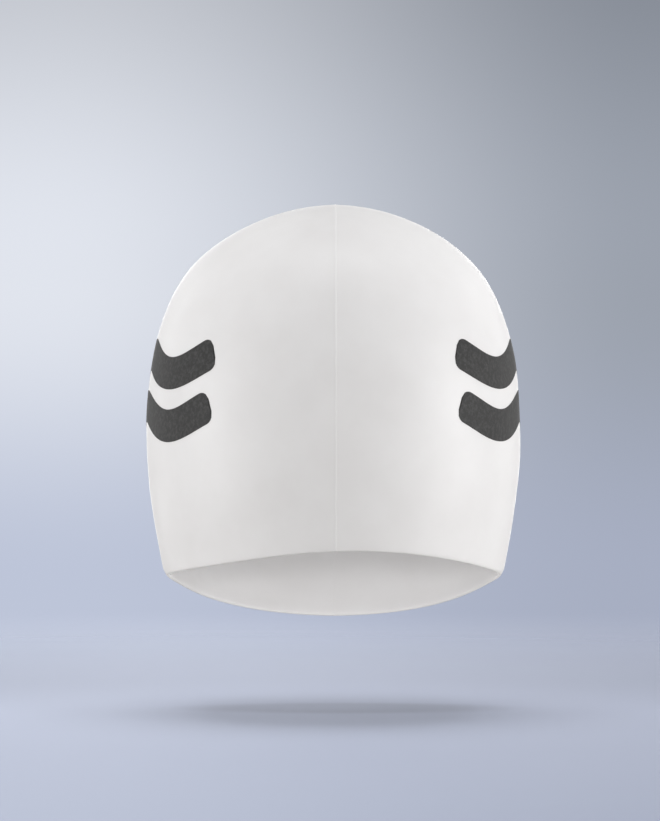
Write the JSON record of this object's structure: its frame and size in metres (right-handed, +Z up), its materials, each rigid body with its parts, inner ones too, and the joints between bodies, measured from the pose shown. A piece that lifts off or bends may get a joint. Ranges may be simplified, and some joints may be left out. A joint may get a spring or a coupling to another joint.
{
  "type": "swim cap",
  "caption": "One-piece moulded silicone swim cap in the form it takes on a head, with a rounded lip, a soft centre ridge and a plain wavy print on both sides.",
  "frame": {"origin": "the inside of the crown on the centre plane, where the top of the head touches the cap", "axes": "+Z up through the crown, -Y towards the forehead, +Y towards the back of the head, +X towards the wearer's left ear"},
  "size_m": [0.16, 0.1969, 0.1802],
  "materials": {
    "silicone": "satin moulded silicone, off-white",
    "print_ink": "matt silicone ink, dark grey"
  },
  "bodies": {
    "root": {"cap_shell": "silicone"}
  },
  "joints": []
}
